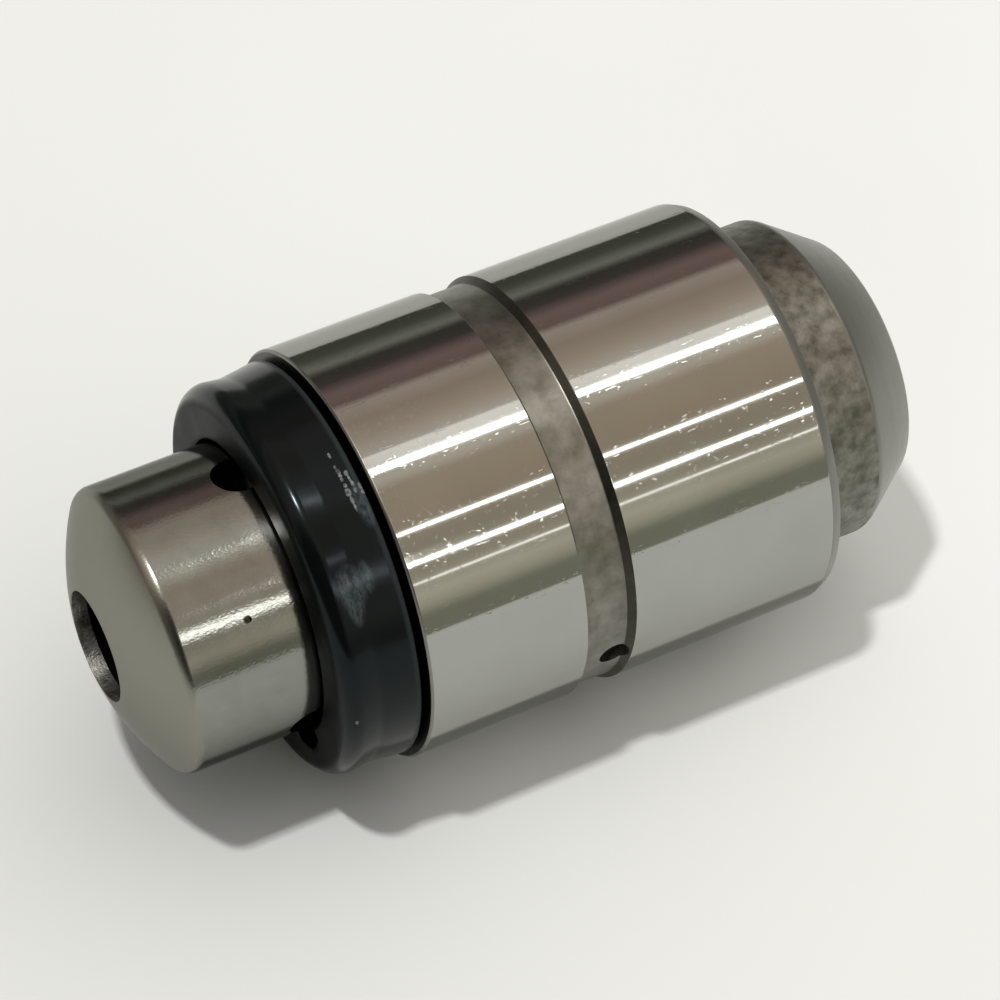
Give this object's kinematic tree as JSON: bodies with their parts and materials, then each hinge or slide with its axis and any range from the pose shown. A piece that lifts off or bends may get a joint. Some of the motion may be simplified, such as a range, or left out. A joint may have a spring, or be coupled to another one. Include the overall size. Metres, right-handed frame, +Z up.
{
  "type": "hydraulic valve lifter",
  "caption": "Hydraulic valve lifter: ground steel cup with an oil groove and a rear spigot, and a domed, spring-loaded plunger held in by a pressed black cap.",
  "frame": {"origin": "centre of the flat end of the spigot, on the lifter's axis", "axes": "+Z up the lifter's axis, towards the domed plunger"},
  "size_m": [0.017, 0.017, 0.0335],
  "materials": {
    "ground_steel": "centreless ground, bright",
    "black_oxide_steel": "black oxide, satin",
    "plunger_steel": "ground, satin",
    "sheet_steel": "pressed, plain",
    "ball_steel": "polished",
    "spring_steel": "drawn wire"
  },
  "bodies": {
    "housing": {"lifter_body": "ground_steel", "retaining_cap": "black_oxide_steel", "return_spring": "spring_steel"},
    "plunger": {"plunger_barrel": "plunger_steel", "valve_cage": "sheet_steel", "valve_spring": "spring_steel"},
    "head": {"plunger_head": "plunger_steel"},
    "ball": {"check_ball": "ball_steel"}
  },
  "joints": [
    {"name": "plunger_slide", "type": "slide", "parent": "housing", "child": "plunger", "axis": [0, 0, -1], "range_m": [0, 0.0025], "stiffness_N_per_m": 1000, "springref_m": -0.007, "deforming": ["return_spring"]},
    {"name": "head_turn", "type": "hinge", "parent": "plunger", "child": "head", "pos_m": [0, 0, 0.0196], "axis": [0, 0, 1], "continuous": true},
    {"name": "ball_lift", "type": "slide", "parent": "plunger", "child": "ball", "axis": [0, 0, -1], "range_m": [0, 0.00025], "stiffness_N_per_m": 300, "springref_m": -0.0002, "deforming": ["valve_spring"]}
  ]
}
